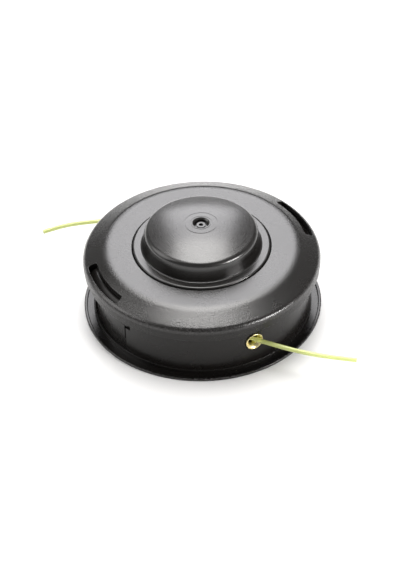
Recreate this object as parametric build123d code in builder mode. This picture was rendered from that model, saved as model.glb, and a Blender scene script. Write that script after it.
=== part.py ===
from build123d import *
import os
from math import asin, atan, cos, degrees, hypot, pi, radians, sin, sqrt, tan

# Bump-feed line trimmer head. Origin: centre of the base, on the spin axis. +Z points at the knob.
# The eyelets lie on the Y axis, front one at -Y. The latches lie on the X axis. Millimetres.

# Clearances
press_gap = 0.05
slip_gap = 0.15
run_gap = 0.3
cut_past = 1.0

# Housing: base flange
flange_r = 66.0
flange_reach = 6.0
flange_h = 1.7
flange_wall = 9.5
flange_rim_w = 1.8
flange_groove = 0.8
flange_edge = 0.5
rim_edge = 0.5
foot_w = 0.6
foot_h = 1.5
foot_edge = 0.4
base_recess = 3.2
floor_t = 2.4
base_ribs = 12
base_rib_t = 2.2
rib_setback = 0.6

# Housing: wall and open edge
wall_t = 3.0
housing_h = 31.3
lip_w = 2.1
lip_h = 2.5

# Latch tongues and the catches that they hook over
latch_half_deg = 15.5
latch_recess = 1.1
panel_edge = 0.9
latch_top_h = 3.2
slit_deg = 19.0
slit_w = 1.4
slit_foot_z = 10.2
notch_z = 19.2
notch_w = 8.0
barb_reach = 2.9
barb_land = 0.8
catch_h = 2.2
catch_reach = 2.0
catch_half_deg = 14.0

# Cover
cover_t = 2.6
cover_h = 12.7
skirt_drop = 3.8
shoulder_w = 10.2
shoulder_deg = 23.0
shoulder_round = 3.3
crown_drop = 0.95
crease_round = 6.0
crown_step = 0.2
knob_gap = 0.8
landing_w = 1.2
landing_h = 2.0
window_half_deg = 16.3
window_in = 7.2
window_w = 4.9
window_corner = 1.2
window_edge = 0.25
skirt_step = 0.35
skirt_step_h = 3.9
skirt_edge = 0.5
opening_edge = 0.5
key_gap = 0.3
key_setback = 1.0
key_t = 1.8

# Bump knob
knob_flange_r = 37.5
knob_flange_t = 2.2
knob_flange_rise = 0.7
knob_foot_r = 32.7
knob_edge_r = 30.5
knob_side_h = 10.0
dome_h = 4.8
knob_t = 2.8
knob_edge_round = 3.4
knob_foot_round = 0.8
knob_flange_round = 0.8
gate_r = 3.9
gate_depth = 2.6
gate_lip = 0.9
gate_nub_r = 2.4
gate_nub_h = 1.1
gate_hole_r = 1.2
gate_boss_t = 2.4
gate_rings = (5.6, 9.0)
gate_ring_w = 0.5
gate_ring_depth = 0.15
sleeve_t = 2.2

# Hub, arbor nut and spring
hub_r = 16.0
hub_z = 0.6
post_r = 12.0
post_rise = 6.0
nut_flats = 17.0
nut_h = 14.0
nut_bore_r = 4.35
nut_chamfer = 0.8
shaft_r = 5.6
shaft_draft = 0.4
wire_d = 1.8
spring_gap = 1.0
spring_len = 16.0
spring_turns = 4.5
washer_t = 1.0

# Spool and its windings
bump_travel = 5.0
floor_gap = 0.4
spool_gap = 3.4
spool_flange_t = 2.0
divider_t = 1.4
divider_inset = 2.0
spool_wall = 3.2
web_t = 3.0
guide_t = 1.9
guide_h = 6.0
neck_r = 24.0
neck_t = 2.4
neck_h = 13.0
bead_h = 0.6
bead_w = 2.4
bead_below = 2.0
rim_notch_w = 3.0
rim_notch_depth = 4.0
anchor_w = 6.0
winding_r = 40.0
winding_gap = 0.1

# Index dogs: teeth on the floor, under the spool, on the spool and under the cover
dogs = 6
low_dog_in = 24.0
low_dog_len = 10.0
low_dog_w = 7.0
low_dog_h = 4.0
top_dog_in = 41.0
top_dog_len = 9.0
top_dog_w = 10.0
top_dog_h = 3.6
cover_dog_h = 5.4
dog_ramp = 1.6

# Eyelets and line
eyelet_z = 17.2
eyelet_r = 5.0
throat_r = 2.4
funnel_round = 3.8
funnel_len = 3.3
eyelet_crest = 0.3
eyelet_barrel_r = 4.0
eyelet_rim_gap = 0.4
eyelet_seat = 1.0
eyelet_flange_t = 1.5
eyelet_flare = 1.0
line_d = 2.4
bend_share = 0.45

# Heights and radii that follow from the values above
floor_z = base_recess + floor_t
foot_z = flange_h + foot_h
wall_r = flange_r - flange_reach
inner_r = wall_r - wall_t
lip_r = wall_r + lip_w
skirt_in_r = lip_r + run_gap
cover_r = skirt_in_r + cover_t
skirt_z = housing_h - skirt_drop
cover_top = skirt_z + cover_h
crease_r = cover_r - shoulder_w
crease_z = cover_top - crown_drop
opening_r = knob_flange_r + knob_gap
crown_slope = crown_drop / (crease_r - opening_r)
crease_turn = radians(shoulder_deg) - atan(crown_slope)
crown_r = crease_r - crease_round * tan(crease_turn / 2) * cos(atan(crown_slope))
crown_z = cover_top - crown_slope * (crown_r - opening_r)
corner_r = cover_r - shoulder_round + shoulder_round * sin(radians(shoulder_deg))
corner_z = crease_z - (corner_r - crease_r) * tan(radians(shoulder_deg))
latch_r = wall_r - latch_recess
latch_top = housing_h + latch_top_h
catch_z = housing_h - run_gap - catch_h
window_r = cover_r - window_in
flange_top = cover_top + knob_flange_rise
knob_edge_z = flange_top + knob_side_h
dome_r = (knob_edge_r**2 + dome_h**2) / (2 * dome_h)
apex_z = knob_edge_z + dome_h
spring_z = floor_z + spring_len
spring_r = post_r + spring_gap + wire_d / 2
cavity_r = spring_r + wire_d / 2 + spring_gap
core_r = cavity_r + spool_wall
web_z = spring_z + washer_t
guide_top = web_z + web_t + guide_h
post_top = guide_top + post_rise
spool_r = inner_r - spool_gap
low_tip_z = floor_z + bump_travel + floor_gap
low_flange_z = low_tip_z + low_dog_h
cover_dog_z = cover_top - crown_drop - cover_t - cover_dog_h
spool_top = cover_dog_z - run_gap
chamber_w = (spool_top - low_flange_z - 2 * spool_flange_t - divider_t) / 2
low_chamber_z = low_flange_z + spool_flange_t
divider_z = low_chamber_z + chamber_w
top_chamber_z = divider_z + divider_t
neck_top = spool_top + neck_h
bead_z = neck_top - bead_below - bead_w
sleeve_in = neck_r + slip_gap
sleeve_top = apex_z - knob_t / 2 - dome_r + sqrt(dome_r**2 - (sleeve_in + sleeve_t) ** 2)
pitch_deg = 360 / dogs


def half_plane(angle):
    """Upright plane through the axis: its x runs outward at this angle, its y runs up."""
    a = radians(angle)
    return Plane(origin=(0, 0, 0), x_dir=(cos(a), sin(a), 0), z_dir=(sin(a), -cos(a), 0))


def ring_sector(inner, outer, half_deg, centre_deg):
    """Flat ring sector about the axis."""
    with BuildSketch() as sector:
        with BuildLine():
            outside = CenterArc((0, 0), outer, centre_deg - half_deg, 2 * half_deg)
            inside = CenterArc((0, 0), inner, centre_deg - half_deg, 2 * half_deg)
            Line(outside @ 0, inside @ 0)
            Line(outside @ 1, inside @ 1)
        make_face()
    return sector.sketch


def on_ring(edge, radius, height):
    """True for the round edge of this radius at this height."""
    return abs(edge.radius - radius) < 0.01 and abs(edge.center().Z - height) < 0.01


def on_window(point):
    """True for a point on the edge of a window, where the shoulder's slope is cut."""
    radius = hypot(point.X, point.Y)
    slope_z = crease_z - (radius - crease_r) * tan(radians(shoulder_deg))
    across = abs(radius - window_r - window_w / 2)
    return abs(point.Z - slope_z) < 0.01 and across < window_w / 2 + 0.01


def dog(inner, length, width, root_z, tip_z):
    """One index tooth on the X axis: straight driving face, ramp behind it, from root to tip."""
    with BuildPart() as tooth:
        with BuildSketch(Plane(origin=(inner, 0, 0), x_dir=(0, 1, 0), z_dir=(1, 0, 0))):
            with BuildLine():
                Polyline(
                    (-width / 2, root_z),
                    (width / 2, root_z),
                    (width / 2, tip_z),
                    (-width / 2 + dog_ramp, tip_z),
                    close=True,
                )
            make_face()
        extrude(amount=length)
    return tooth.part


# Housing: cup, flange, hub post and floor dogs in one moulding
with BuildPart() as housing:
    with BuildSketch(Plane.XZ):
        with BuildLine():
            Polyline(
                (shaft_r, hub_z),
                (hub_r, hub_z),
                (hub_r, base_recess),
                (flange_r - flange_wall, base_recess),
                (flange_r - flange_wall, 0),
                (flange_r, 0),
                (flange_r, flange_h),
                (flange_r - flange_rim_w, flange_h),
                (flange_r - flange_rim_w, flange_h - flange_groove),
                (wall_r + foot_w, flange_h - flange_groove),
                (wall_r + foot_w, foot_z),
                (wall_r, foot_z),
                (wall_r, housing_h - lip_h),
                (lip_r, housing_h - lip_h),
                (lip_r, housing_h),
                (latch_r + barb_reach, housing_h),
                (latch_r + barb_reach, housing_h + barb_land),
                (latch_r, latch_top),
                (inner_r, latch_top),
                (inner_r, floor_z),
                (post_r, floor_z),
                (post_r, post_top),
                (shaft_r + shaft_draft, post_top),
                close=True,
            )
        make_face()
    revolve(axis=Axis.Z)
    rings = housing.edges().filter_by(GeomType.CIRCLE)
    fillet(rings.filter_by(lambda e: abs(e.radius - flange_r) < 0.01), flange_edge)
    rings = housing.edges().filter_by(GeomType.CIRCLE)
    fillet(rings.filter_by(lambda e: on_ring(e, flange_r - flange_rim_w, flange_h)), rim_edge)
    rings = housing.edges().filter_by(GeomType.CIRCLE)
    fillet(rings.filter_by(lambda e: on_ring(e, wall_r + foot_w, foot_z)), foot_edge)
    # underside ribs from the hub to the flange
    rib_in = hub_r - cut_past
    rib_out = flange_r - flange_wall + cut_past
    with BuildSketch(Plane.XY.offset(rib_setback)):
        with PolarLocations((rib_in + rib_out) / 2, base_ribs):
            Rectangle(rib_out - rib_in, base_rib_t)
    extrude(amount=floor_z - floor_t / 2 - rib_setback)
    # latch tongues: the barbed top stays only there, and a thinned face, notches and slits free them
    notch_half_deg = slit_deg + degrees(notch_w / 2 / wall_r)
    notch_arc = (notch_half_deg - latch_half_deg) / 2
    slit_arc = degrees(slit_w / 2 / wall_r)
    cut_in = inner_r - cut_past
    cut_out = lip_r + cut_past
    for side in (0, 180):
        with BuildSketch(Plane.XY.offset(housing_h)):
            add(ring_sector(cut_in, cut_out, 90 - latch_half_deg, side + 90))
        extrude(amount=latch_top_h + cut_past, mode=Mode.SUBTRACT)
        with BuildSketch(Plane.XY.offset(foot_z)):
            add(ring_sector(latch_r, cut_out, slit_deg, side))
        extrude(amount=housing_h - foot_z, mode=Mode.SUBTRACT)
        with BuildSketch(Plane.XY.offset(notch_z)):
            for turn in (-1, 1):
                add(ring_sector(cut_in, cut_out, notch_arc, side + turn * (latch_half_deg + notch_arc)))
        extrude(amount=housing_h - notch_z, mode=Mode.SUBTRACT)
        with BuildSketch(Plane.XY.offset(slit_foot_z)):
            for turn in (-1, 1):
                add(ring_sector(cut_in, cut_out, slit_arc, side + turn * (slit_deg - slit_arc)))
        extrude(amount=notch_z - slit_foot_z, mode=Mode.SUBTRACT)
    # rounded upright edges of the panels beside the tongues
    panel_mid_z = (foot_z + notch_z) / 2
    uprights = housing.edges().filter_by(Axis.Z)
    uprights = uprights.filter_by(lambda e: abs(e.center().Z - panel_mid_z) < 0.01)
    fillet(uprights.filter_by(lambda e: abs(hypot(e.center().X, e.center().Y) - wall_r) < 0.01), panel_edge)
    # eyelet seats
    for side in (-1, 1):
        with Locations(Plane(origin=(0, side * wall_r, eyelet_z), x_dir=(1, 0, 0), z_dir=(0, side, 0))):
            CounterBoreHole(eyelet_barrel_r + press_gap, eyelet_r + eyelet_rim_gap, eyelet_seat, 2 * wall_t)
    # pocket for the arbor nut at the foot of the hollow post
    with BuildSketch(Plane.XY.offset(hub_z)):
        RegularPolygon(nut_flats / 2 + press_gap, 6, major_radius=False)
    extrude(amount=nut_h, mode=Mode.SUBTRACT)
    # dogs on the floor, half a pitch from those under the spool
    floor_dog = dog(low_dog_in, low_dog_len, low_dog_w, floor_z - floor_t / 2, floor_z + low_dog_h)
    with PolarLocations(0, dogs, start_angle=pitch_deg / 2):
        add(floor_dog)

# Cover: crown, shoulder and skirt of one thickness, with the windows, catches and dogs
with BuildPart() as cover:
    with BuildSketch(Plane.XZ):
        with BuildLine():
            crown = Line((opening_r, cover_top), (crown_r, crown_z))
            bend = JernArc(crown @ 1, crown % 1, crease_round, -degrees(crease_turn))
            shoulder = Line(bend @ 1, (corner_r, corner_z))
            corner = JernArc(shoulder @ 1, shoulder % 1, shoulder_round, shoulder_deg - 90)
            Line(corner @ 1, (cover_r, skirt_z))
            offset(amount=cover_t, side=Side.RIGHT, kind=Kind.INTERSECTION)
        make_face()
        # the crown lies a little lower than the shoulder's inner edge
        with BuildLine():
            Polyline(
                (opening_r - cut_past, cover_top - crown_step + crown_slope * cut_past),
                (crown_r, crown_z - crown_step),
                (crown_r, cover_top + cut_past),
                (opening_r - cut_past, cover_top + cut_past),
                close=True,
            )
        make_face(mode=Mode.SUBTRACT)
    revolve(axis=Axis.Z)
    # the skirt steps in a little below the corner
    with BuildSketch(Plane.XY.offset(skirt_z)):
        Circle(cover_r + cut_past)
        Circle(cover_r - skirt_step, mode=Mode.SUBTRACT)
    extrude(amount=skirt_step_h, mode=Mode.SUBTRACT)
    rings = cover.edges().filter_by(GeomType.CIRCLE)
    fillet(rings.filter_by(lambda e: on_ring(e, cover_r - skirt_step, skirt_z)), skirt_edge)
    rings = cover.edges().filter_by(GeomType.CIRCLE)
    mouth_r = opening_r - crown_slope * crown_step
    fillet(rings.filter_by(lambda e: on_ring(e, mouth_r, cover_top - crown_step)), opening_edge)
    # landing ring that sits on the housing's lip
    with BuildSketch(Plane.XY.offset(housing_h)):
        Circle(skirt_in_r + cover_t / 2)
        Circle(lip_r - landing_w, mode=Mode.SUBTRACT)
    extrude(amount=landing_h)
    for side in (0, 180):
        with BuildSketch(Plane.XY.offset(catch_z + catch_h)) as window:
            add(ring_sector(window_r, window_r + window_w, window_half_deg, side))
            fillet(window.vertices(), window_corner)
        extrude(amount=cover_top - catch_z, mode=Mode.SUBTRACT)
        with BuildSketch(Plane.XY.offset(catch_z)):
            catch_in = skirt_in_r - catch_reach
            add(ring_sector(catch_in, skirt_in_r + cover_t / 2, catch_half_deg, side))
        extrude(amount=catch_h)
        # keys that drop into the notches and keep the cover from turning
        key_half_deg = notch_arc - degrees(key_gap / wall_r)
        key_in = wall_r - key_setback - key_t
        for turn in (-1, 1):
            key_deg = side + turn * (latch_half_deg + notch_arc)
            with BuildSketch(Plane.XY.offset(notch_z + key_gap)):
                add(ring_sector(key_in, wall_r - key_setback, key_half_deg, key_deg))
            extrude(amount=housing_h - notch_z)
            with BuildSketch(Plane.XY.offset(skirt_z)):
                add(ring_sector(key_in, skirt_in_r + cover_t / 2, key_half_deg, key_deg))
            extrude(amount=housing_h - skirt_z + landing_h / 2)
    fillet(cover.edges().filter_by(lambda e: on_window(e @ 0.5)), window_edge)
    cover_dog = dog(top_dog_in, top_dog_len, top_dog_w, crease_z - cover_t / 2, cover_dog_z)
    with PolarLocations(0, dogs, start_angle=pitch_deg / 2):
        add(cover_dog)

# Bump knob: domed shell with a flange, a snap sleeve and the moulding gate in its middle
with BuildPart() as bump_knob:
    with BuildSketch(Plane.XZ):
        with BuildLine():
            Polyline(
                (0, apex_z),
                (0, spool_top),
                (knob_foot_r, spool_top),
                (knob_foot_r, flange_top - knob_flange_t),
                (knob_flange_r, flange_top - knob_flange_t),
                (knob_flange_r, flange_top),
                (knob_foot_r, flange_top),
                (knob_edge_r, knob_edge_z),
            )
            RadiusArc((0, apex_z), (knob_edge_r, knob_edge_z), dome_r)
        make_face()
        with BuildLine():
            Polyline(
                (0, apex_z - knob_t),
                (0, spool_top),
                (knob_foot_r - knob_t, spool_top),
                (knob_foot_r - knob_t, flange_top),
                (knob_edge_r - knob_t, knob_edge_z - knob_t),
            )
            RadiusArc((0, apex_z - knob_t), (knob_edge_r - knob_t, knob_edge_z - knob_t), dome_r)
        make_face(mode=Mode.SUBTRACT)
        # snap sleeve with a groove for the bead on the spool's neck
        with BuildLine():
            Polyline(
                (sleeve_in, spool_top + run_gap),
                (sleeve_in + sleeve_t, spool_top + run_gap),
                (sleeve_in + sleeve_t, sleeve_top),
                (sleeve_in, sleeve_top),
                (sleeve_in, bead_z + bead_w + slip_gap),
                (sleeve_in + bead_h, bead_z + bead_w / 2),
                (sleeve_in, bead_z - slip_gap),
                close=True,
            )
        make_face()
        # gate: boss under the dome, flared well, ring nub with a hole
        with BuildLine():
            Polyline(
                (0, apex_z - knob_t / 2),
                (gate_r + knob_t, apex_z - knob_t / 2),
                (gate_r + knob_t, apex_z - knob_t - gate_boss_t),
                (0, apex_z - knob_t - gate_boss_t),
                close=True,
            )
        make_face()
        with BuildLine():
            Polyline(
                (0, apex_z + gate_lip),
                (gate_r + 2 * gate_lip, apex_z + gate_lip),
                (gate_r, apex_z - gate_lip),
                (gate_r, apex_z - gate_depth),
                (0, apex_z - gate_depth),
                close=True,
            )
        make_face(mode=Mode.SUBTRACT)
        with BuildLine():
            Polyline(
                (gate_hole_r, apex_z - gate_depth - gate_nub_h / 2),
                (gate_nub_r, apex_z - gate_depth - gate_nub_h / 2),
                (gate_nub_r, apex_z - gate_depth + gate_nub_h),
                (gate_hole_r, apex_z - gate_depth + gate_nub_h),
                close=True,
            )
        make_face()
        # faint tool rings round the gate
        for ring_r in gate_rings:
            ring_z = apex_z - dome_r + sqrt(dome_r**2 - ring_r**2)
            with Locations((ring_r, ring_z)):
                Rectangle(gate_ring_w, 2 * gate_ring_depth, mode=Mode.SUBTRACT)
    revolve(axis=Axis.Z)
    rings = bump_knob.edges().filter_by(GeomType.CIRCLE)
    fillet(rings.filter_by(lambda e: on_ring(e, knob_edge_r, knob_edge_z)), knob_edge_round)
    rings = bump_knob.edges().filter_by(GeomType.CIRCLE)
    fillet(rings.filter_by(lambda e: on_ring(e, knob_flange_r, flange_top)), knob_flange_round)
    rings = bump_knob.edges().filter_by(GeomType.CIRCLE)
    fillet(rings.filter_by(lambda e: on_ring(e, knob_foot_r, flange_top)), knob_foot_round)

# Spool: two chambers, snap neck for the knob, guide on the hub post, dogs above and below
with BuildPart() as spool:
    with BuildSketch(Plane.XZ):
        with BuildLine():
            Polyline(
                (cavity_r, low_flange_z),
                (spool_r, low_flange_z),
                (spool_r, low_chamber_z),
                (core_r, low_chamber_z),
                (core_r, divider_z),
                (spool_r - divider_inset, divider_z),
                (spool_r - divider_inset, top_chamber_z),
                (core_r, top_chamber_z),
                (core_r, top_chamber_z + chamber_w),
                (spool_r, top_chamber_z + chamber_w),
                (spool_r, spool_top),
                (neck_r, spool_top),
                (neck_r, bead_z),
                (neck_r + bead_h, bead_z + bead_w / 2),
                (neck_r, bead_z + bead_w),
                (neck_r, neck_top),
                (neck_r - neck_t, neck_top),
                (neck_r - neck_t, spool_top),
                (cavity_r, spool_top),
                (cavity_r, web_z + web_t),
                (post_r + slip_gap + guide_t, web_z + web_t),
                (post_r + slip_gap + guide_t, guide_top),
                (post_r + slip_gap, guide_top),
                (post_r + slip_gap, web_z),
                (cavity_r, web_z),
                close=True,
            )
        make_face()
    revolve(axis=Axis.Z)
    # notches in the flange rims that park the line, and the slot in the divider that anchors it
    with BuildSketch(Plane.XY.offset(low_flange_z)):
        with PolarLocations(spool_r, 2, start_angle=90):
            Rectangle(2 * rim_notch_depth, rim_notch_w)
    extrude(amount=spool_top - low_flange_z, mode=Mode.SUBTRACT)
    with BuildSketch(Plane.XY.offset(divider_z)):
        with Locations((core_r + anchor_w, 0)):
            SlotOverall(2 * anchor_w, line_d + run_gap)
    extrude(amount=divider_t, mode=Mode.SUBTRACT)
    low_dog = dog(low_dog_in, low_dog_len, low_dog_w, low_flange_z + spool_flange_t / 2, low_tip_z)
    top_dog = dog(top_dog_in, top_dog_len, top_dog_w, spool_top - spool_flange_t / 2, spool_top + top_dog_h)
    with PolarLocations(0, dogs):
        add(low_dog)
        add(top_dog)

# Windings: the line on the spool, one closed solid for each chamber with its outer turns showing
windings = {}
for name, chamber_z in (("line_winding_lower", low_chamber_z), ("line_winding_upper", top_chamber_z)):
    wound_z = chamber_z + winding_gap
    wound_w = chamber_w - 2 * winding_gap
    turns = max(1, int(wound_w / line_d))
    with BuildPart() as winding:
        with BuildSketch(Plane.XZ):
            with Locations((core_r + winding_gap, wound_z)):
                width = winding_r - line_d / 2 - core_r - winding_gap
                Rectangle(width, wound_w, align=(Align.MIN, Align.MIN))
            for turn in range(turns):
                with Locations((winding_r - line_d / 2, wound_z + (turn + 0.5) * wound_w / turns)):
                    Circle(wound_w / turns / 2)
        revolve(axis=Axis.Z)
    windings[name] = winding

# Compression spring round the hub post, ends ground flat
with BuildPart() as spring:
    with BuildLine():
        coil = Helix(spring_len / spring_turns, spring_len, spring_r, center=(0, 0, floor_z))
    with BuildSketch(Plane(origin=coil @ 0, z_dir=coil % 0)):
        Circle(wire_d / 2)
    sweep(is_frenet=True)
    with BuildSketch(Plane.XY.offset(floor_z)):
        Circle(cavity_r)
    extrude(amount=spring_len, mode=Mode.INTERSECT)

# Thrust washer between the spring and the spool's web
with BuildPart() as thrust_washer:
    with BuildSketch(Plane.XY.offset(spring_z)):
        Circle(cavity_r - run_gap)
        Circle(post_r + run_gap, mode=Mode.SUBTRACT)
    extrude(amount=washer_t)

# Arbor nut: hexagonal threaded insert, flush with the hub
with BuildPart() as arbor_nut:
    with BuildSketch(Plane.XY.offset(hub_z)):
        RegularPolygon(nut_flats / 2, 6, major_radius=False)
        Circle(nut_bore_r, mode=Mode.SUBTRACT)
    extrude(amount=nut_h)
    mouths = arbor_nut.edges().filter_by(GeomType.CIRCLE)
    chamfer(mouths, nut_chamfer)

# Eyelets: funnel-mouthed brass bushes pressed into the wall
eyelets = {}
for name, angle in (("eyelet_front", -90), ("eyelet_rear", 90)):
    seat_u = wall_r - eyelet_seat
    lip_u = seat_u + eyelet_flange_t
    throat_u = lip_u - funnel_len
    back_u = throat_u - eyelet_flare
    funnel_deg = degrees(asin(funnel_len / funnel_round))
    throat_z = eyelet_z + throat_r
    with BuildPart() as eyelet:
        with BuildSketch(half_plane(angle)):
            with BuildLine():
                flare = CenterArc((throat_u, throat_z + eyelet_flare), eyelet_flare, 180, 90)
                funnel = CenterArc((throat_u, throat_z + funnel_round), funnel_round, 270, funnel_deg)
                lip_z = (funnel @ 1).Y
                crest = (lip_u + eyelet_crest, (lip_z + eyelet_z + eyelet_r) / 2)
                ThreePointArc(funnel @ 1, crest, (lip_u, eyelet_z + eyelet_r))
                Polyline(
                    (lip_u, eyelet_z + eyelet_r),
                    (seat_u, eyelet_z + eyelet_r),
                    (seat_u, eyelet_z + eyelet_barrel_r),
                    (back_u, eyelet_z + eyelet_barrel_r),
                    flare @ 0,
                )
            make_face()
        revolve(axis=Axis((0, 0, eyelet_z), half_plane(angle).x_dir))
    eyelets[name] = eyelet

# Free line ends: out through the eyelet, over its lip, then drooping a little as they curl
line_routes = {
    "line_end_front": [
        (-1.6, -55.2, 17.2),
        (2.4, -60.9, 17.2),
        (7.9, -67.4, 17.0),
        (14.6, -75.1, 16.6),
        (22.6, -83.0, 16.2),
        (32.0, -90.6, 15.8),
        (41.1, -97.2, 15.5),
    ],
    "line_end_rear": [
        (1.1, 55.9, 17.2),
        (-2.3, 60.9, 17.2),
        (-7.2, 64.7, 16.9),
        (-15.6, 69.6, 16.0),
        (-26.4, 75.0, 14.8),
        (-37.6, 80.2, 13.9),
        (-48.4, 83.4, 13.4),
        (-59.6, 83.7, 13.2),
    ],
}
line_ends = {}
for name, route in line_routes.items():
    runs = [Vector(end) - Vector(start) for start, end in zip(route, route[1:])]
    radii = []
    for before, after in zip(runs, runs[1:]):
        half_turn = radians(before.get_angle(after) / 2)
        radii.append(bend_share * min(before.length, after.length) / tan(half_turn))
    with BuildPart() as line_end:
        with BuildLine():
            path = FilletPolyline(*route, radius=radii)
        with BuildSketch(Plane(origin=path @ 0, z_dir=path % 0)):
            Circle(line_d / 2)
        sweep()
    tube_volume = pi * line_d**2 / 4 * path.length
    print(name, "radii", [round(r, 1) for r in radii], "length", round(path.length, 1))
    print(name, "volume over section times length", round(line_end.part.volume / tube_volume, 4))
    line_ends[name] = line_end

pieces = {
    "housing": housing,
    "cover": cover,
    "bump_knob": bump_knob,
    "spool": spool,
    "spring": spring,
    "thrust_washer": thrust_washer,
    "arbor_nut": arbor_nut,
    **windings,
    **eyelets,
    **line_ends,
}
os.makedirs("parts", exist_ok=True)
for name, piece in pieces.items():
    piece.part.label = name
    export_step(piece.part, f"parts/{name}.step")
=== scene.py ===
"""Bump-feed trimmer head: finishes, line ends, spring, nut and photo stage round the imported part."""

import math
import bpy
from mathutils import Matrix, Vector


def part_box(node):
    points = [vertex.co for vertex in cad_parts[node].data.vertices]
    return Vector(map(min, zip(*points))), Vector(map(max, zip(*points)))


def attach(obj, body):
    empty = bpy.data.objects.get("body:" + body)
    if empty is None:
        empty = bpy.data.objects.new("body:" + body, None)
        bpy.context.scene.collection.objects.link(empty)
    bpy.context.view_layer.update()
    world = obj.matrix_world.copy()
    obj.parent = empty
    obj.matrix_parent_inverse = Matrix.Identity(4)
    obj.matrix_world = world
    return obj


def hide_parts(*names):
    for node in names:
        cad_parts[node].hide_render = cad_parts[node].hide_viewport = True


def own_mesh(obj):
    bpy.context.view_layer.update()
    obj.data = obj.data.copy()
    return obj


bl_info = {
    "name": "Trimmer Head",
    "version": (1, 0, 0),
    "blender": (4, 5, 0),
    "location": "View3D > Sidebar > Trimmer Head",
    "description": "Finishes and stage for a bump-feed trimmer head",
    "category": "Object",
}

import bmesh
import bpy
from bpy.props import FloatProperty, FloatVectorProperty, PointerProperty
from mathutils import Matrix, Vector

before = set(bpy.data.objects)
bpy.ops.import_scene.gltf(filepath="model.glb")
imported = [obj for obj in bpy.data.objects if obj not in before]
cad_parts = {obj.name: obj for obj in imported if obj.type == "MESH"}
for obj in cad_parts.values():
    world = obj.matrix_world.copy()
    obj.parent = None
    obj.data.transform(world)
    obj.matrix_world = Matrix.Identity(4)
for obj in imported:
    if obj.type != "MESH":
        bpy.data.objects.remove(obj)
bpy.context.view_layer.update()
MM = 0.001

# Optics of the nylon and tints of the lamps
NYLON_IOR = 1.36
SHEEN_IOR = 1.54
LINE_IOR = 1.5
COOL = (0.985, 0.975, 1.0)
WARM = (1.0, 0.985, 0.97)

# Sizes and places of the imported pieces
FLANGE_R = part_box("housing")[1].x
COVER_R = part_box("cover")[1].x
COVER_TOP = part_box("cover")[1].z
KNOB_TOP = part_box("bump_knob")[1].z
NUT_LOW, NUT_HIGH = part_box("arbor_nut")
SPRING_LOW, SPRING_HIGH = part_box("spring")

# Free line ends, point by point from inside the eyelet to the cut tip, in metres
LINE_ROUTES = {
    "line_end_front": [
        (-0.0016, -0.0552, 0.0172),
        (0.0024, -0.0609, 0.0172),
        (0.0079, -0.0674, 0.0170),
        (0.0146, -0.0751, 0.0166),
        (0.0226, -0.0830, 0.0162),
        (0.0320, -0.0906, 0.0158),
        (0.0411, -0.0972, 0.0155),
    ],
    "line_end_rear": [
        (0.0011, 0.0559, 0.0172),
        (-0.0023, 0.0609, 0.0172),
        (-0.0072, 0.0647, 0.0169),
        (-0.0156, 0.0696, 0.0160),
        (-0.0264, 0.0750, 0.0148),
        (-0.0376, 0.0802, 0.0139),
        (-0.0484, 0.0834, 0.0134),
        (-0.0596, 0.0837, 0.0132),
    ],
}


class FinishSettings(bpy.types.PropertyGroup):
    """Colours and grain of the materials."""

    nylon: FloatVectorProperty(
        name="Nylon",
        description="Colour of the black moulded nylon",
        subtype="COLOR",
        default=(0.0072, 0.0063, 0.0056),
    )
    # Also the colour of the lighter blotches along the cover's corner, which are partly real rubbing and
    # partly a painted highlight.
    nylon_worn_and_highlight: FloatVectorProperty(
        name="Rubbed nylon",
        description="Colour of the nylon where it is rubbed or dusty",
        subtype="COLOR",
        default=(0.045, 0.042, 0.042),
    )
    grain_size: FloatProperty(
        name="Grain size",
        description="Width of one spark grain on the cover and the knob",
        unit="LENGTH",
        default=0.8 * MM,
    )
    grain_depth: FloatProperty(
        name="Grain depth",
        description="Depth of the spark grain",
        unit="LENGTH",
        default=0.1 * MM,
    )
    spool_nylon: FloatVectorProperty(
        name="Spool nylon",
        description="Colour of the spool",
        subtype="COLOR",
        default=(0.03, 0.03, 0.032),
    )
    line: FloatVectorProperty(
        name="Line",
        description="Colour of the clear nylon line",
        subtype="COLOR",
        default=(0.85, 0.92, 0.36),
    )
    brass: FloatVectorProperty(
        name="Brass",
        description="Colour of the eyelets",
        subtype="COLOR",
        default=(0.9, 0.78, 0.42),
    )
    zinc: FloatVectorProperty(
        name="Zinc",
        description="Colour of the plated spring and washer",
        subtype="COLOR",
        default=(0.58, 0.58, 0.57),
    )
    steel: FloatVectorProperty(
        name="Turned steel",
        description="Colour of the arbor nut",
        subtype="COLOR",
        default=(0.46, 0.45, 0.43),
    )


class CoverSettings(bpy.types.PropertyGroup):
    """Sizes of the cover's moulded top."""

    opening_r: FloatProperty(
        name="Opening radius",
        description="Radius of the opening round the knob",
        unit="LENGTH",
        default=38.3 * MM,
    )
    lip_reach: FloatProperty(
        name="Lip reach",
        description="How far the opening's lip reaches in over the packed gap round the knob",
        unit="LENGTH",
        default=0.4 * MM,
    )
    wall: FloatProperty(
        name="Cover wall",
        description="Thickness of the crown",
        unit="LENGTH",
        default=2.6 * MM,
    )
    shoulder_w: FloatProperty(
        name="Shoulder width",
        description="From the crease to the cover's outside",
        unit="LENGTH",
        default=10.2 * MM,
    )
    shoulder_slope: FloatProperty(
        name="Shoulder slope",
        description="Fall of the shoulder from the level",
        subtype="ANGLE",
        default=math.radians(23.0),
    )
    crown_drop: FloatProperty(
        name="Crown drop",
        description="Fall of the packed crown from the opening to the crease",
        unit="LENGTH",
        default=0.95 * MM,
    )
    crease_round: FloatProperty(
        name="Crease radius",
        description="Radius of the packed crease",
        unit="LENGTH",
        default=6.0 * MM,
    )
    roll: FloatProperty(
        name="Roll radius",
        description="Radius of the soft roll from the level crown into the shoulder",
        unit="LENGTH",
        default=14.0 * MM,
    )


class LineSettings(bpy.types.PropertyGroup):
    """Size of the line."""

    diameter: FloatProperty(
        name="Line diameter",
        description="Thickness of the nylon line",
        unit="LENGTH",
        default=2.4 * MM,
    )


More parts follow.
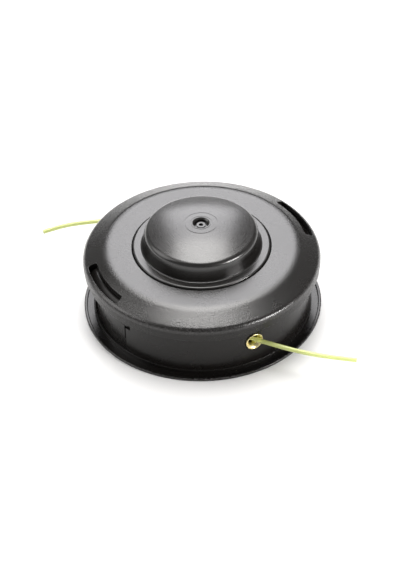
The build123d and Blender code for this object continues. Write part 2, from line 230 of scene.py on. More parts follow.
class SpringSettings(bpy.types.PropertyGroup):
    """Sizes of the compression spring."""

    wire: FloatProperty(
        name="Wire diameter",
        description="Thickness of the spring's wire",
        unit="LENGTH",
        default=1.8 * MM,
    )
    turns: FloatProperty(
        name="Turns",
        description="Number of turns of the spring",
        default=4.5,
    )


class NutSettings(bpy.types.PropertyGroup):
    """Sizes of the arbor nut."""

    minor_r: FloatProperty(
        name="Minor radius",
        description="Radius at the thread's crests",
        unit="LENGTH",
        default=4.35 * MM,
    )
    thread_depth: FloatProperty(
        name="Thread depth",
        description="From the thread's crests to its roots",
        unit="LENGTH",
        default=0.65 * MM,
    )
    pitch: FloatProperty(
        name="Thread pitch",
        description="Rise of one turn of the left-hand thread",
        unit="LENGTH",
        default=1.25 * MM,
    )
    chamfer: FloatProperty(
        name="Chamfer",
        description="Chamfer at both mouths of the bore",
        unit="LENGTH",
        default=0.8 * MM,
    )


class StageSettings(bpy.types.PropertyGroup):
    """Camera, lamps and floor."""

    azimuth: FloatProperty(
        name="Camera azimuth",
        description="Turn of the camera about the spin axis, from the front eyelet's side",
        subtype="ANGLE",
        default=math.radians(-26.45),
    )
    elevation: FloatProperty(
        name="Camera elevation",
        description="Height of the camera above the horizon",
        subtype="ANGLE",
        default=math.radians(39.0),
    )
    distance: FloatProperty(
        name="Camera distance",
        description="From the camera to the pivot, the cover's top on the axis",
        unit="LENGTH",
        default=1.0,
    )
    pivot_z: FloatProperty(
        name="Pivot height",
        description="Height of the pivot on the axis",
        unit="LENGTH",
        default=40.2 * MM,
    )
    aim_left: FloatProperty(
        name="Aim left",
        description="How far left of the pivot the middle of the view lies",
        unit="LENGTH",
        default=1.32 * MM,
    )
    aim_down: FloatProperty(
        name="Aim down",
        description="How far below the pivot the middle of the view lies",
        unit="LENGTH",
        default=21.92 * MM,
    )
    lens: FloatProperty(
        name="Lens",
        description="Focal length in millimetres",
        default=115.9,
    )
    roll: FloatProperty(
        name="Camera roll",
        description="Turn of the camera about its own axis",
        subtype="ANGLE",
        default=math.radians(-1.4),
    )
    floor: FloatVectorProperty(
        name="Floor",
        description="Colour of the floor",
        subtype="COLOR",
        default=(0.9, 0.9, 0.9),
    )
    floor_r: FloatProperty(
        name="Floor radius",
        description="Radius of the round floor",
        unit="LENGTH",
        default=0.9,
    )
    fade_start: FloatProperty(
        name="Fade start",
        description="Radius at which the floor starts to fade into the background",
        unit="LENGTH",
        default=0.4,
    )
    fade_end: FloatProperty(
        name="Fade end",
        description="Radius at which the floor has faded away",
        unit="LENGTH",
        default=0.85,
    )
    room_level: FloatProperty(
        name="Room level",
        description="Brightness of the room above the floor",
        default=0.2,
    )
    back_power: FloatProperty(
        name="Back softbox",
        description="Power of the softbox behind the head, in watts",
        default=7.0,
    )
    top_power: FloatProperty(
        name="Top softbox",
        description="Power of the softbox above the head, in watts",
        default=16.0,
    )
    left_power: FloatProperty(
        name="Left softbox",
        description="Power of the softbox on the left, in watts",
        default=4.8,
    )
    right_power: FloatProperty(
        name="Right lamp",
        description="Power of the small lamp at the front right, in watts",
        default=7.0,
    )


class HeadSettings(bpy.types.PropertyGroup):
    """All settings of the trimmer head."""

    finish: PointerProperty(type=FinishSettings)
    cover: PointerProperty(type=CoverSettings)
    line: PointerProperty(type=LineSettings)
    spring: PointerProperty(type=SpringSettings)
    nut: PointerProperty(type=NutSettings)
    stage: PointerProperty(type=StageSettings)


def rgba(colour, share=1.0):
    """A colour property as four numbers, darkened to a share of itself."""
    return (*(share * part for part in colour), 1.0)


def wire_up(tree, socket, value):
    """Links an output into a socket, or sets the socket to a number or colour."""
    if isinstance(value, bpy.types.NodeSocket):
        tree.links.new(value, socket)
    else:
        socket.default_value = value


def calc(tree, operation, first, second=0.0, third=0.0, clamp=False):
    """A Math node on outputs or numbers. Returns its output."""
    made = tree.nodes.new("ShaderNodeMath")
    made.operation = operation
    made.use_clamp = clamp
    for place, value in enumerate((first, second, third)):
        wire_up(tree, made.inputs[place], value)
    return made.outputs[0]


def remap(tree, value, low, high, to_low=0.0, to_high=1.0):
    """Value from low to high, stretched to a new range and held there. Returns the output."""
    made = tree.nodes.new("ShaderNodeMapRange")
    sizes = (value, low, high, to_low, to_high)
    for name, size in zip(("Value", "From Min", "From Max", "To Min", "To Max"), sizes):
        wire_up(tree, made.inputs[name], size)
    return made.outputs["Result"]


def mix_colour(tree, factor, first, second):
    """Mix of two colours, each an output or four numbers. Returns the output."""
    made = tree.nodes.new("ShaderNodeMix")
    made.data_type = "RGBA"
    for place, value in ((0, factor), (6, first), (7, second)):
        wire_up(tree, made.inputs[place], value)
    return made.outputs[2]


def noise(tree, vector, scale, detail=2.0, roughness=0.5):
    """Noise texture with values about a half. Returns the value."""
    made = tree.nodes.new("ShaderNodeTexNoise")
    for name, value in (("Vector", vector), ("Scale", scale), ("Detail", detail), ("Roughness", roughness)):
        wire_up(tree, made.inputs[name], value)
    return made.outputs["Fac"]


def object_place(tree):
    """Position on the part, in metres."""
    return tree.nodes.new("ShaderNodeTexCoord").outputs["Object"]


def split_place(tree):
    """X, Y and Z of the position on the part, as outputs."""
    split = tree.nodes.new("ShaderNodeSeparateXYZ")
    tree.links.new(object_place(tree), split.inputs["Vector"])
    return split.outputs


def length_of(tree, first, second):
    """Length of the slanting side over two sides at a right angle, as an output."""
    squares = calc(tree, "MULTIPLY_ADD", first, first, calc(tree, "MULTIPLY", second, second))
    return calc(tree, "SQRT", squares)


def axis_radius(tree, place):
    """Distance of a split position from the spin axis, as an output."""
    return length_of(tree, place["X"], place["Y"])


def new_group(name, inputs, outputs):
    """An empty shader node group with float inputs (name, default) and float outputs (name)."""
    group = bpy.data.node_groups.new(name, "ShaderNodeTree")
    for label, default in inputs:
        socket = group.interface.new_socket(label, in_out="INPUT", socket_type="NodeSocketFloat")
        socket.default_value = default
    for label in outputs:
        group.interface.new_socket(label, in_out="OUTPUT", socket_type="NodeSocketFloat")
    start = group.nodes.new("NodeGroupInput").outputs
    end = group.nodes.new("NodeGroupOutput").inputs
    return group, start, end


def spark_grain_group():
    """Fine pitted grain of a spark-eroded mould: its height and a mask of the pits."""
    group, start, end = new_group("Spark grain", [("Grains per metre", 2000.0)], ["Height", "Pits"])
    grain = noise(group, object_place(group), start["Grains per metre"], detail=4.0, roughness=0.65)
    group.links.new(grain, end["Height"])
    group.links.new(remap(group, grain, 0.5, 0.35), end["Pits"])
    return group


def edge_wear_group():
    """Mask of rubbing along a round edge of this radius and height, broken into blotches; on the cover's
    corner the blotches are partly a painted highlight.
    """
    inputs = [("Radius", 0.03), ("Height", 0.05), ("Width", 0.001), ("Blotches per metre", 300.0)]
    group, start, end = new_group("Edge wear", inputs, ["Mask"])
    place = split_place(group)
    out = calc(group, "SUBTRACT", axis_radius(group, place), start["Radius"])
    up = calc(group, "SUBTRACT", place["Z"], start["Height"])
    near = remap(group, length_of(group, out, up), 0.0, start["Width"], 1.0, 0.0)
    blotch = noise(group, object_place(group), start["Blotches per metre"], detail=4.0)
    patches = remap(group, blotch, 0.45, 0.62)
    group.links.new(calc(group, "MULTIPLY", near, patches), end["Mask"])
    return group


def turned_streaks_group():
    """Fine rings of streaks round the spin axis, as spinning against the ground leaves."""
    inputs = [("Rings per metre", 1800.0), ("Arcs", 2.2)]
    group, start, end = new_group("Turned streaks", inputs, ["Streaks"])
    place = split_place(group)
    radius = axis_radius(group, place)
    vector = group.nodes.new("ShaderNodeCombineXYZ")
    for side in ("X", "Y"):
        share = calc(group, "DIVIDE", place[side], radius)
        wire_up(group, vector.inputs[side], calc(group, "MULTIPLY", share, start["Arcs"]))
    wire_up(group, vector.inputs["Z"], calc(group, "MULTIPLY", radius, start["Rings per metre"]))
    group.links.new(noise(group, vector.outputs["Vector"], 1.0, detail=3.0, roughness=0.6), end["Streaks"])
    return group


def scuff_group():
    """Thin straight marks left by handling, as a mask."""
    group, start, end = new_group("Scuffs", [("Marks per metre", 900.0), ("Amount", 0.5)], ["Mask"])
    turned = group.nodes.new("ShaderNodeMapping")
    wire_up(group, turned.inputs["Vector"], object_place(group))
    turned.inputs["Rotation"].default_value = (0.0, 0.0, math.radians(28.0))
    turned.inputs["Scale"].default_value = (0.06, 1.0, 1.0)
    marks = noise(group, turned.outputs["Vector"], start["Marks per metre"], detail=5.0, roughness=0.65)
    level = calc(group, "MULTIPLY_ADD", start["Amount"], -0.2, 0.74)
    above = calc(group, "SUBTRACT", marks, level)
    group.links.new(calc(group, "MULTIPLY", above, 8.0, clamp=True), end["Mask"])
    return group


GROUPS = {
    "Spark grain": spark_grain_group,
    "Edge wear": edge_wear_group,
    "Turned streaks": turned_streaks_group,
    "Scuffs": scuff_group,
}


def use_group(tree, name, **values):
    """Places the node group of this name in a material with its own values. Returns its outputs."""
    made = tree.nodes.new("ShaderNodeGroup")
    made.node_tree = bpy.data.node_groups.get(name) or GROUPS[name]()
    for label, value in values.items():
        made.inputs[label.replace("_", " ").capitalize()].default_value = value
    return made.outputs


def new_material(name):
    """A material with its node tree and its Principled shader's inputs."""
    made = bpy.data.materials.new(name)
    made.use_nodes = True
    return made, made.node_tree, made.node_tree.nodes["Principled BSDF"].inputs


def bump(tree, height, distance, normal=None):
    """A Bump node over a height, on top of another one if given. Returns its normal."""
    made = tree.nodes.new("ShaderNodeBump")
    wire_up(tree, made.inputs["Height"], height)
    made.inputs["Distance"].default_value = distance
    if normal is not None:
        tree.links.new(normal, made.inputs["Normal"])
    return made.outputs["Normal"]


def sheen(tree, shader, normal, roughness):
    """The reflective part of the black nylon: its own gloss with this normal, and the sheen over it."""
    tree.links.new(normal, shader["Normal"])
    shader["IOR"].default_value = NYLON_IOR
    shader["Coat IOR"].default_value = SHEEN_IOR
    shader["Coat Roughness"].default_value = roughness


def finish_settings():
    """The colours and grain that the user set."""
    return bpy.context.scene.trimmer_head.finish


def cover_nylon():
    """Spark-grained black nylon of the cover, rubbed along its corner in lighter blotches that are partly a
    painted highlight, with a sheen above its skirt.
    """
    finish = finish_settings()
    made, tree, shader = new_material("cover_nylon")
    corner_in = 0.9 * MM
    corner_down = 6.2 * MM
    sheen_foot = COVER_TOP - 8.0 * MM
    sheen_full = COVER_TOP - 5.0 * MM
    z = split_place(tree)["Z"]
    grain = use_group(tree, "Spark grain", grains_per_metre=1.0 / finish.grain_size)
    # Lighter blotches along the cover's corner: partly real rubbing, partly a painted highlight of the
    # corner's glints.
    corner_rub_and_highlight = use_group(
        tree,
        "Edge wear",
        radius=COVER_R - corner_in,
        height=COVER_TOP - corner_down,
        width=2.2 * MM,
        blotches_per_metre=800.0,
    )
    scuffs = use_group(tree, "Scuffs", marks_per_metre=700.0, amount=0.3)
    worn = calc(tree, "MULTIPLY_ADD", scuffs["Mask"], 0.3, corner_rub_and_highlight["Mask"], clamp=True)
    cloud = noise(tree, object_place(tree), 45.0, detail=3.0)
    # The worn colour lightens the scuffs and the corner's blotches; on the corner it is partly a painted
    # highlight.
    tree.links.new(mix_colour(tree, worn, rgba(finish.nylon), rgba(finish.nylon_worn_and_highlight)), shader["Base Color"])
    rough = remap(tree, cloud, 0.3, 0.7, 0.24, 0.3)
    rough = calc(tree, "MULTIPLY_ADD", grain["Pits"], 0.1, rough)
    tree.links.new(calc(tree, "MULTIPLY_ADD", worn, -0.05, rough), shader["Roughness"])
    tree.links.new(remap(tree, z, sheen_foot, sheen_full), shader["Coat Weight"])
    sheen(tree, shader, bump(tree, grain["Height"], finish.grain_depth), 0.26)
    sparkle = noise(tree, object_place(tree), 1.0 / finish.grain_size, detail=4.0, roughness=0.65)
    tree.links.new(bump(tree, sparkle, finish.grain_depth), shader["Coat Normal"])
    return made


def knob_nylon():
    """Black nylon of the knob: a dome dulled by turning on the ground, and a smooth glossy side."""
    finish = finish_settings()
    made, tree, shader = new_material("knob_nylon")
    dome_foot = KNOB_TOP - 6.8 * MM
    dome_full = KNOB_TOP - 5.2 * MM
    ring_top = KNOB_TOP - 14.0 * MM
    ring_full = KNOB_TOP - 14.6 * MM
    side_foot = KNOB_TOP - 10.5 * MM
    side_full = KNOB_TOP - 8.0 * MM
    sheen_foot = KNOB_TOP - 9.0 * MM
    sheen_full = KNOB_TOP - 7.0 * MM
    z = split_place(tree)["Z"]
    dome = remap(tree, z, dome_foot, dome_full)
    ring = remap(tree, z, ring_top, ring_full)
    matt = calc(tree, "MAXIMUM", dome, ring)
    grain = use_group(tree, "Spark grain", grains_per_metre=1.0 / finish.grain_size)
    streaks = use_group(tree, "Turned streaks", rings_per_metre=1500.0, arcs=3.0)
    scuffs = use_group(tree, "Scuffs", marks_per_metre=1100.0, amount=0.55)
    worn = calc(tree, "MULTIPLY", remap(tree, streaks["Streaks"], 0.5, 0.8), 0.3)
    worn = calc(tree, "MULTIPLY_ADD", scuffs["Mask"], 0.5, worn)
    worn = calc(tree, "MULTIPLY", worn, dome)
    tree.links.new(mix_colour(tree, worn, rgba(finish.nylon), rgba(finish.nylon_worn_and_highlight)), shader["Base Color"])
    rough = remap(tree, streaks["Streaks"], 0.3, 0.7, 0.24, 0.34)
    rough = calc(tree, "MULTIPLY_ADD", grain["Pits"], 0.06, rough)
    smooth = remap(tree, z, side_foot, side_full, 0.26, 0.14)
    blend = calc(tree, "SUBTRACT", rough, smooth)
    tree.links.new(calc(tree, "MULTIPLY_ADD", blend, matt, smooth), shader["Roughness"])
    height = calc(tree, "MULTIPLY_ADD", streaks["Streaks"], 0.5, grain["Height"])
    height = calc(tree, "MULTIPLY", height, remap(tree, matt, 0.0, 1.0, 0.12, 1.0))
    glossy = calc(tree, "MAXIMUM", remap(tree, z, sheen_foot, sheen_full), ring)
    tree.links.new(glossy, shader["Coat Weight"])
    sheen(tree, shader, bump(tree, height, finish.grain_depth), 0.24)
    return made


def housing_nylon():
    """Smooth satin black nylon of the housing, rubbed on the flange's rim, with a sheen on the flange."""
    finish = finish_settings()
    made, tree, shader = new_material("housing_nylon")
    rim_in = 0.2 * MM
    sheen_top = 2.8 * MM
    sheen_full = 1.9 * MM
    z = split_place(tree)["Z"]
    grain = use_group(tree, "Spark grain", grains_per_metre=3200.0)
    rim = use_group(
        tree,
        "Edge wear",
        radius=FLANGE_R - rim_in,
        height=1.5 * MM,
        width=0.6 * MM,
        blotches_per_metre=500.0,
    )
    scuffs = use_group(tree, "Scuffs", marks_per_metre=600.0, amount=0.05)
    worn = calc(tree, "MULTIPLY_ADD", scuffs["Mask"], 0.3, rim["Mask"], clamp=True)
    cloud = noise(tree, object_place(tree), 60.0, detail=3.0)
    tree.links.new(mix_colour(tree, worn, rgba(finish.nylon), rgba(finish.nylon_worn_and_highlight)), shader["Base Color"])
    rough = calc(tree, "MULTIPLY_ADD", worn, 0.1, remap(tree, cloud, 0.3, 0.7, 0.24, 0.3))
    tree.links.new(rough, shader["Roughness"])
    tree.links.new(remap(tree, z, sheen_top, sheen_full, 0.0, 0.5), shader["Coat Weight"])
    sheen(tree, shader, bump(tree, grain["Height"], 0.002 * MM), 0.2)
    return made


def spool_nylon():
    """Smooth moulded nylon of the spool, with a soft cloudiness."""
    finish = finish_settings()
    made, tree, shader = new_material("spool_nylon")
    grain = use_group(tree, "Spark grain", grains_per_metre=3000.0)
    cloud = noise(tree, object_place(tree), 60.0, detail=3.0)
    colour = mix_colour(tree, cloud, rgba(finish.spool_nylon), rgba(finish.nylon))
    tree.links.new(colour, shader["Base Color"])
    tree.links.new(remap(tree, cloud, 0.3, 0.7, 0.35, 0.5), shader["Roughness"])
    tree.links.new(bump(tree, grain["Height"], 0.01 * MM), shader["Normal"])
    return made


def clear_line(name, turns):
    """Clear yellow-green nylon line. With turns, its height follows the wound turns of line."""
    head = bpy.context.scene.trimmer_head
    made, tree, shader = new_material(name)
    place = object_place(tree)
    cloud = noise(tree, place, 220.0, detail=2.0)
    tint = remap(tree, cloud, 0.35, 0.65)
    colour = mix_colour(tree, tint, rgba(head.finish.line, 0.93), rgba(head.finish.line))
    tree.links.new(colour, shader["Base Color"])
    tree.links.new(remap(tree, cloud, 0.3, 0.7, 0.08, 0.16), shader["Roughness"])
    normal = bump(tree, cloud, 0.02 * MM)
    if turns:
        split = split_place(tree)
        along = calc(tree, "ADD", axis_radius(tree, split), split["Z"])
        wave = calc(tree, "SINE", calc(tree, "MULTIPLY", along, math.pi / head.line.diameter))
        normal = bump(tree, calc(tree, "ABSOLUTE", wave), 0.5 * head.line.diameter, normal)
    tree.links.new(normal, shader["Normal"])
    shader["Transmission Weight"].default_value = 0.5
    shader["IOR"].default_value = LINE_IOR
    return made


def plated_metal(name, colour, rough_low, rough_high, ring_marks):
    """Bright metal with a little clouding, and tool marks round the axis where asked."""
    made, tree, shader = new_material(name)
    place = object_place(tree)
    cloud = noise(tree, place, 350.0, detail=4.0)
    tint = remap(tree, cloud, 0.4, 0.68)
    tree.links.new(mix_colour(tree, tint, rgba(colour), rgba(colour, 0.72)), shader["Base Color"])
    tree.links.new(remap(tree, cloud, 0.3, 0.7, rough_low, rough_high), shader["Roughness"])
    marks = noise(tree, place, 2600.0, detail=2.0)
    if ring_marks:
        marks = use_group(tree, "Turned streaks", rings_per_metre=3500.0, arcs=1.5)["Streaks"]
    tree.links.new(bump(tree, marks, 0.008 * MM), shader["Normal"])
    shader["Metallic"].default_value = 1.0
    return made


def dress(node_name, material):
    """Gives a CAD node's slots a material."""
    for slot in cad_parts[node_name].material_slots:
        slot.material = material


def add_piece(name, data, material, node_name):
    """Links a new piece that rides on the housing and stands for a CAD node."""
    data.materials.append(material)
    made = bpy.data.objects.new(name, data)
    bpy.context.scene.collection.objects.link(made)
    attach(made, "housing")
    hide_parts(node_name)
    return made


def grid_mesh(name, rows, closed_ends, smooth_deg):
    """A mesh of quads over rows of points that each close into a loop, with both ends filled if asked."""
    around = len(rows[0])
    points = [point for row in rows for point in row]
    faces = []
    for row in range(len(rows) - 1):
        for step in range(around):
            after = (step + 1) % around
            low, high = row * around, (row + 1) * around
            faces.append((low + step, low + after, high + after, high + step))
    if closed_ends:
        faces.append(tuple(reversed(range(around))))
        faces.append(tuple(range(len(points) - around, len(points))))
    else:
        last = (len(rows) - 1) * around
        for step in range(around):
            after = (step + 1) % around
            faces.append((last + step, last + after, after, step))
    mesh = bpy.data.meshes.new(name)
    mesh.from_pydata(points, [], faces)
    mesh.polygons.foreach_set("use_smooth", [True] * len(mesh.polygons))
    mesh.set_sharp_from_angle(angle=math.radians(smooth_deg))
    mesh.validate()
    return mesh


class HEAD_OT_line_ends(bpy.types.Operator):
    """Free ends of the line, from the eyelets to their cut tips"""

    bl_idname = "trimmer_head.line_ends"
    bl_label = "Draw the line ends"

    def execute(self, context):
        size = context.scene.trimmer_head.line
        line = clear_line("clear_line", False)
        for name, route in LINE_ROUTES.items():
            curve = bpy.data.curves.new(name + "_cord", "CURVE")
            curve.dimensions = "3D"
            spline = curve.splines.new("NURBS")
            spline.points.add(len(route) - 1)
            for point, place in zip(spline.points, route):
                point.co = (*place, 1.0)
            spline.order_u = 3
            spline.use_endpoint_u = True
            spline.resolution_u = 16
            curve.bevel_depth = size.diameter / 2
            curve.bevel_resolution = 8
            curve.use_fill_caps = True
            cord = add_piece(name + "_cord", curve, line, name)
        return {"FINISHED"}


def top_height(size, radius, drop, roll):
    """Height of the cover's top over its opening: a crown that falls by drop and rolls into the shoulder."""
    crease_r = COVER_R - size.shoulder_w
    fall = math.tan(size.shoulder_slope)
    slope = drop / (crease_r - size.opening_r)
    lean = math.atan(slope)
    cross_r = (fall * crease_r - size.crown_drop - slope * size.opening_r) / (fall - slope)
    reach = roll * math.tan((size.shoulder_slope - lean) / 2)
    start_r = cross_r - reach * math.cos(lean)
    if radius <= start_r:
        return -slope * (radius - size.opening_r)
    if radius >= cross_r + reach * math.cos(size.shoulder_slope):
        return -size.crown_drop - fall * (radius - crease_r)
    centre_r = start_r - roll * math.sin(lean)
    centre_z = -slope * (start_r - size.opening_r) - roll * math.cos(lean)
    return centre_z + math.sqrt(roll**2 - (radius - centre_r) ** 2)


class HEAD_OT_cover(bpy.types.Operator):
    """Cover whose top lies level round the opening and rolls softly into the shoulder"""

    bl_idname = "trimmer_head.cover"
    bl_label = "Shape the cover"

    def execute(self, context):
        size = context.scene.trimmer_head.cover
        shape = bmesh.new()
        shape.from_mesh(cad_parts["cover"].data)
        bmesh.ops.remove_doubles(shape, verts=shape.verts, dist=0.002 * MM)
        rings = 36
        deepest = 1.5 * size.crown_drop
        for ring in range(1, rings):
            level = (0.0, 0.0, COVER_TOP - deepest * ring / rings)
            cut = [*shape.verts, *shape.edges, *shape.faces]
            bmesh.ops.bisect_plane(shape, geom=cut, plane_co=level, plane_no=(0.0, 0.0, 1.0))
        for vert in shape.verts:
            radius = vert.co.xy.length
            packed = top_height(size, radius, size.crown_drop, size.crease_round)
            if COVER_TOP + packed - vert.co.z < size.wall / 2:
                vert.co.z += top_height(size, radius, 0.0, size.roll) - packed
            near = 1.0 - (radius - size.opening_r) / size.wall
            if near > 0.0:
                vert.co.xy *= 1.0 - size.lip_reach * min(near, 1.0) / radius
        mesh = bpy.data.meshes.new("cover_shell")
        shape.to_mesh(mesh)
        shape.free()
        packed_normals = mesh.attributes.get("custom_normal")
        if packed_normals:
            mesh.attributes.remove(packed_normals)
        mesh.polygons.foreach_set("use_smooth", [True] * len(mesh.polygons))
        mesh.set_sharp_from_angle(angle=math.radians(28.0))
        shell = add_piece("cover_shell", mesh, cover_nylon(), "cover")
        weighted = shell.modifiers.new("weighted_normals", "WEIGHTED_NORMAL")
        weighted.keep_sharp = True
        return {"FINISHED"}


class HEAD_OT_mouldings(bpy.types.Operator):
    """Black nylon for the housing and the bump knob"""

    bl_idname = "trimmer_head.mouldings"
    bl_label = "Finish the mouldings"

    def execute(self, context):
        dress("bump_knob", knob_nylon())
        dress("housing", housing_nylon())
        return {"FINISHED"}


class HEAD_OT_spool(bpy.types.Operator):
    """Spool and the line wound on it"""

    bl_idname = "trimmer_head.spool"
    bl_label = "Finish the spool"

    def execute(self, context):
        dress("spool", spool_nylon())
        wound = clear_line("wound_line", True)
        dress("line_winding_lower", wound)
        dress("line_winding_upper", wound)
        return {"FINISHED"}


class HEAD_OT_metal(bpy.types.Operator):
    """Brass eyelets and the thrust washer"""

    bl_idname = "trimmer_head.metal"
    bl_label = "Finish the metal pieces"

    def execute(self, context):
        finish = context.scene.trimmer_head.finish
        brass = plated_metal("pressed_brass", finish.brass, 0.24, 0.36, False)
        dress("eyelet_front", brass)
        dress("eyelet_rear", brass)
        dress("thrust_washer", plated_metal("washer_zinc", finish.zinc, 0.22, 0.38, True))
        return {"FINISHED"}


class HEAD_OT_spring(bpy.types.Operator):
    """Compression spring, its ends ground flat"""

    bl_idname = "trimmer_head.spring"
    bl_label = "Wind the spring"

    def execute(self, context):
        head = context.scene.trimmer_head
        wire_r = head.spring.wire / 2
        coil_r = SPRING_HIGH.x - wire_r
        length = SPRING_HIGH.z - SPRING_LOW.z
        steps_per_turn = 48
        around = 14
        steps = round(steps_per_turn * head.spring.turns)
        rise = math.atan(length / head.spring.turns / (2 * math.pi * coil_r))
        rows = []
        for step in range(steps + 1):
            angle = 2 * math.pi * head.spring.turns * step / steps
            out = Vector((math.cos(angle), math.sin(angle), 0.0))
            along = Vector((-math.sin(angle), math.cos(angle), 0.0))
            up = Vector((0.0, 0.0, math.cos(rise))) - along * math.sin(rise)
            centre = out * coil_r + Vector((0.0, 0.0, SPRING_LOW.z + length * step / steps))
            row = []
            for place in range(around):
                turn = 2 * math.pi * place / around
                point = centre + wire_r * (out * math.cos(turn) + up * math.sin(turn))
                point.z = min(max(point.z, SPRING_LOW.z), SPRING_HIGH.z)
                row.append(tuple(point))
            rows.append(row)
        zinc = plated_metal("spring_zinc", head.finish.zinc, 0.2, 0.34, False)
        mesh = grid_mesh("spring_coil", rows, True, 50.0)
        coil = add_piece("spring_coil", mesh, zinc, "spring")
        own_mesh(coil)
        return {"FINISHED"}


class HEAD_OT_nut(bpy.types.Operator):
    """Hexagonal arbor nut with its left-hand thread cut into the bore"""

    bl_idname = "trimmer_head.nut"
    bl_label = "Cut the arbor nut"

    def execute(self, context):
        head = context.scene.trimmer_head
        size = head.nut
        around = 120
        flats_r = (NUT_HIGH.y - NUT_LOW.y) / 2
        height = NUT_HIGH.z - NUT_LOW.z
        turns = [2 * math.pi * step / around for step in range(around)]

        def hex_r(turn):
            """Radius of the hexagon's outline at this angle, with its flats across the Y axis."""
            off = (turn + math.pi / 2 + math.pi / 6) % (math.pi / 3) - math.pi / 6
            return flats_r / math.cos(off)

        def loop(radii, z):
            return [(r * math.cos(t), r * math.sin(t), z) for r, t in zip(radii, turns)]

        edge = 0.35 * MM
        crown_out = 0.45 * MM
        outline = [hex_r(turn) for turn in turns]
        crowned = [min(r, flats_r + crown_out) for r in outline]
        faced = [min(r, flats_r - edge) for r in outline]
        rows = [loop(faced, NUT_LOW.z), loop(crowned, NUT_LOW.z + edge), loop(outline, NUT_LOW.z + 3 * edge)]
        rows += [loop(outline, NUT_HIGH.z - 3 * edge), loop(crowned, NUT_HIGH.z - edge)]
        rows.append(loop(faced, NUT_HIGH.z))
        levels_per_turn = 14
        flank = 2.4
        crest = 0.15
        root = 0.85
        levels = levels_per_turn * round(height / size.pitch)
        for level in range(levels, -1, -1):
            z = NUT_LOW.z + height * level / levels
            mouth = min(level, levels - level) * height / levels
            row = []
            for turn in turns:
                phase = ((z - NUT_LOW.z) / size.pitch + turn / (2 * math.pi)) % 1.0
                groove = min(max(flank * (0.5 - abs(phase - 0.5)) - crest, 0.0), root) / root
                r = size.minor_r + size.thread_depth * groove
                row.append(max(r, size.minor_r + size.chamfer - mouth))
            rows.append(loop(row, z))
        steel = plated_metal("nut_steel", head.finish.steel, 0.24, 0.4, True)
        mesh = grid_mesh("threaded_nut", rows, False, 32.0)
        add_piece("threaded_nut", mesh, steel, "arbor_nut")
        return {"FINISHED"}


def softbox(name, place, aim, width, height, power, tint):
    """A rectangular area lamp that faces a point."""
    data = bpy.data.lights.new(name, "AREA")
    data.shape = "RECTANGLE"
    data.size = width
    data.size_y = height
    data.energy = power
    data.color = tint
    made = bpy.data.objects.new(name, data)
    bpy.context.scene.collection.objects.link(made)
    made.location = place
    made.rotation_mode = "QUATERNION"
    made.rotation_quaternion = (aim - place).to_track_quat("-Z", "Y")


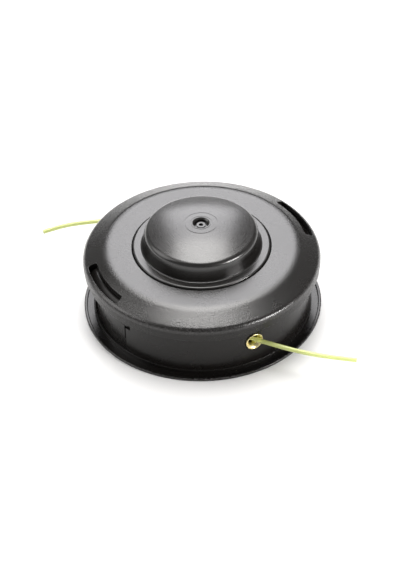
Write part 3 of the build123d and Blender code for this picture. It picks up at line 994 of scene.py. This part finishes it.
class HEAD_OT_stage(bpy.types.Operator):
    """Pale floor, soft studio lamps and the camera"""

    bl_idname = "trimmer_head.stage"
    bl_label = "Set the stage"

    def execute(self, context):
        scene = context.scene
        stage = scene.trimmer_head.stage
        turn = Matrix.Rotation(stage.azimuth, 3, "Z")

        around = 96
        turns = [2 * math.pi * step / around for step in range(around)]
        rim = [(stage.floor_r * math.cos(t), stage.floor_r * math.sin(t), 0.0) for t in turns]
        mesh = bpy.data.meshes.new("floor")
        mesh.from_pydata(rim, [], [tuple(range(around))])
        floor = bpy.data.objects.new("floor", mesh)
        scene.collection.objects.link(floor)
        made, tree, shader = new_material("pale_floor")
        radius = axis_radius(tree, split_place(tree))
        shader["Base Color"].default_value = rgba(stage.floor)
        shader["Roughness"].default_value = 0.9
        shader["Specular IOR Level"].default_value = 0.0
        tree.links.new(remap(tree, radius, stage.fade_start, stage.fade_end, 1.0, 0.0), shader["Alpha"])
        mesh.materials.append(made)

        world = bpy.data.worlds.new("studio")
        scene.world = world
        world.use_nodes = True
        tree = world.node_tree
        back = tree.nodes["Background"].inputs
        back["Color"].default_value = (1.0, 1.0, 1.0, 1.0)
        split = tree.nodes.new("ShaderNodeSeparateXYZ")
        tree.links.new(tree.nodes.new("ShaderNodeTexCoord").outputs["Generated"], split.inputs["Vector"])
        tree.links.new(remap(tree, split.outputs[2], 0.0, 0.1, 1.0, stage.room_level), back["Strength"])

        aim = Vector((0.0, 0.0, 0.04))
        lamps = (
            ("back_softbox", (0.0, 1.0, 0.79), 0.63, 0.84, stage.back_power, COOL),
            ("top_softbox", (0.0, 0.32, 1.25), 0.64, 0.92, stage.top_power, WARM),
            ("left_softbox", (-0.95, 0.03, 0.78), 0.8, 0.9, stage.left_power, WARM),
            ("right_lamp", (0.79, -0.475, 0.34), 0.42, 0.12, stage.right_power, WARM),
        )
        for name, place, width, height, power, tint in lamps:
            softbox(name, turn @ Vector(place), aim, width, height, power, tint)

        data = bpy.data.cameras.new("camera")
        data.sensor_width = 36.0
        data.lens = stage.lens
        data.clip_start = 0.05
        camera = bpy.data.objects.new("camera", data)
        scene.collection.objects.link(camera)
        ahead = turn @ Vector((0.0, math.cos(stage.elevation), -math.sin(stage.elevation)))
        right = turn @ Vector((1.0, 0.0, 0.0))
        up = right.cross(ahead)
        camera.location = Vector((0.0, 0.0, stage.pivot_z)) - ahead * stage.distance
        view = ahead * stage.distance - right * stage.aim_left - up * stage.aim_down
        camera.rotation_mode = "QUATERNION"
        roll = Matrix.Rotation(stage.roll, 3, "Z").to_quaternion()
        camera.rotation_quaternion = view.to_track_quat("-Z", "Y") @ roll
        scene.camera = camera
        scene.view_settings.view_transform = "Standard"
        return {"FINISHED"}


class HEAD_PT_panel(bpy.types.Panel):
    """Steps and settings of the trimmer head"""

    bl_label = "Trimmer Head"
    bl_idname = "HEAD_PT_panel"
    bl_space_type = "VIEW_3D"
    bl_region_type = "UI"
    bl_category = "Trimmer Head"

    def draw(self, context):
        layout = self.layout
        for step in STEPS:
            layout.operator(step.bl_idname)
        head = context.scene.trimmer_head
        for part in ("finish", "cover", "line", "spring", "nut", "stage"):
            settings = getattr(head, part)
            box = layout.box()
            for name in settings.bl_rna.properties.keys():
                if name not in ("name", "rna_type"):
                    box.prop(settings, name)


SETTINGS = (
    FinishSettings,
    CoverSettings,
    LineSettings,
    SpringSettings,
    NutSettings,
    StageSettings,
    HeadSettings,
)
STEPS = (
    HEAD_OT_line_ends,
    HEAD_OT_cover,
    HEAD_OT_mouldings,
    HEAD_OT_spool,
    HEAD_OT_metal,
    HEAD_OT_spring,
    HEAD_OT_nut,
    HEAD_OT_stage,
)


def register():
    for cls in (*SETTINGS, *STEPS, HEAD_PT_panel):
        bpy.utils.register_class(cls)
    bpy.types.Scene.trimmer_head = PointerProperty(type=HeadSettings)


def unregister():
    del bpy.types.Scene.trimmer_head
    for cls in reversed((*SETTINGS, *STEPS, HEAD_PT_panel)):
        bpy.utils.unregister_class(cls)


def main():
    register()
    bpy.ops.trimmer_head.line_ends()
    bpy.ops.trimmer_head.cover()
    bpy.ops.trimmer_head.mouldings()
    bpy.ops.trimmer_head.spool()
    bpy.ops.trimmer_head.metal()
    bpy.ops.trimmer_head.spring()
    bpy.ops.trimmer_head.nut()
    bpy.ops.trimmer_head.stage()


if __name__ == "__main__":
    main()
